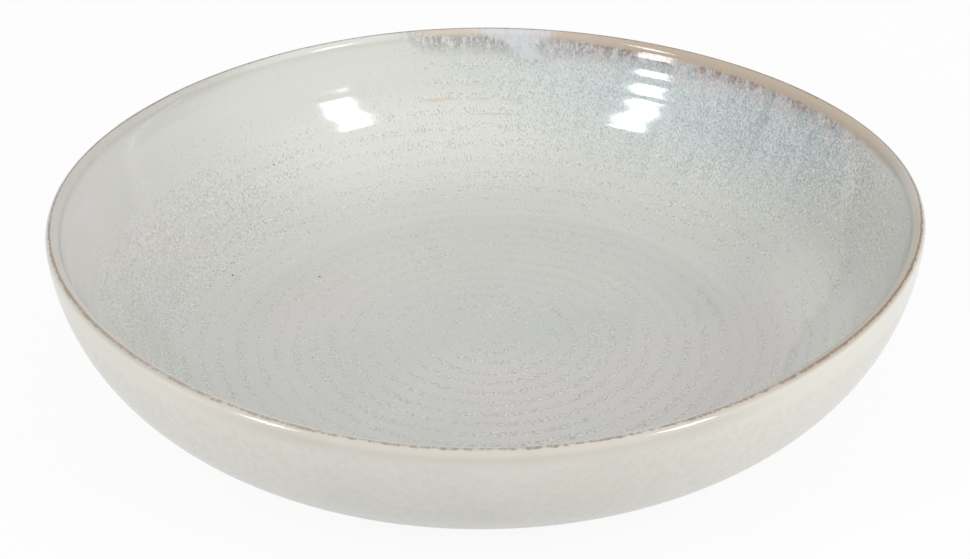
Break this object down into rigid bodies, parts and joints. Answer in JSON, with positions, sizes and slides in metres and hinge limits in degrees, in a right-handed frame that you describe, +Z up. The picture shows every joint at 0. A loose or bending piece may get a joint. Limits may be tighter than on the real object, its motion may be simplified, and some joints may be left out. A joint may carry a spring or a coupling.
{
  "type": "serving bowl",
  "caption": "Wide, low stoneware serving bowl with a thin rounded lip, finger rings inside, pale glossy glaze, a brown rim band and a trimmed foot ring.",
  "frame": {"origin": "centre of the bowl, on the surface that its foot ring stands on", "axes": "+Z up along the bowl's axis; -Y towards the picture's viewer and +X to the viewer's right"},
  "size_m": [0.3, 0.3, 0.069],
  "materials": {
    "clay": "bare fired stoneware, matt, wiped clean of glaze on the foot ring's land",
    "inside_glaze": "glossy pale grey-white glaze with fine speckle in the finger rings and a light blue flow on one side",
    "rim_glaze": "glossy tan-brown where the glaze breaks thin over the lip, with a ragged border",
    "outside_glaze": "glossy cream-white glaze with faint mottling"
  },
  "bodies": {
    "root": {"clay_body": "clay", "inside_glaze": "inside_glaze", "rim_glaze": "rim_glaze", "outside_glaze": "outside_glaze", "base_glaze": "outside_glaze"}
  },
  "joints": []
}
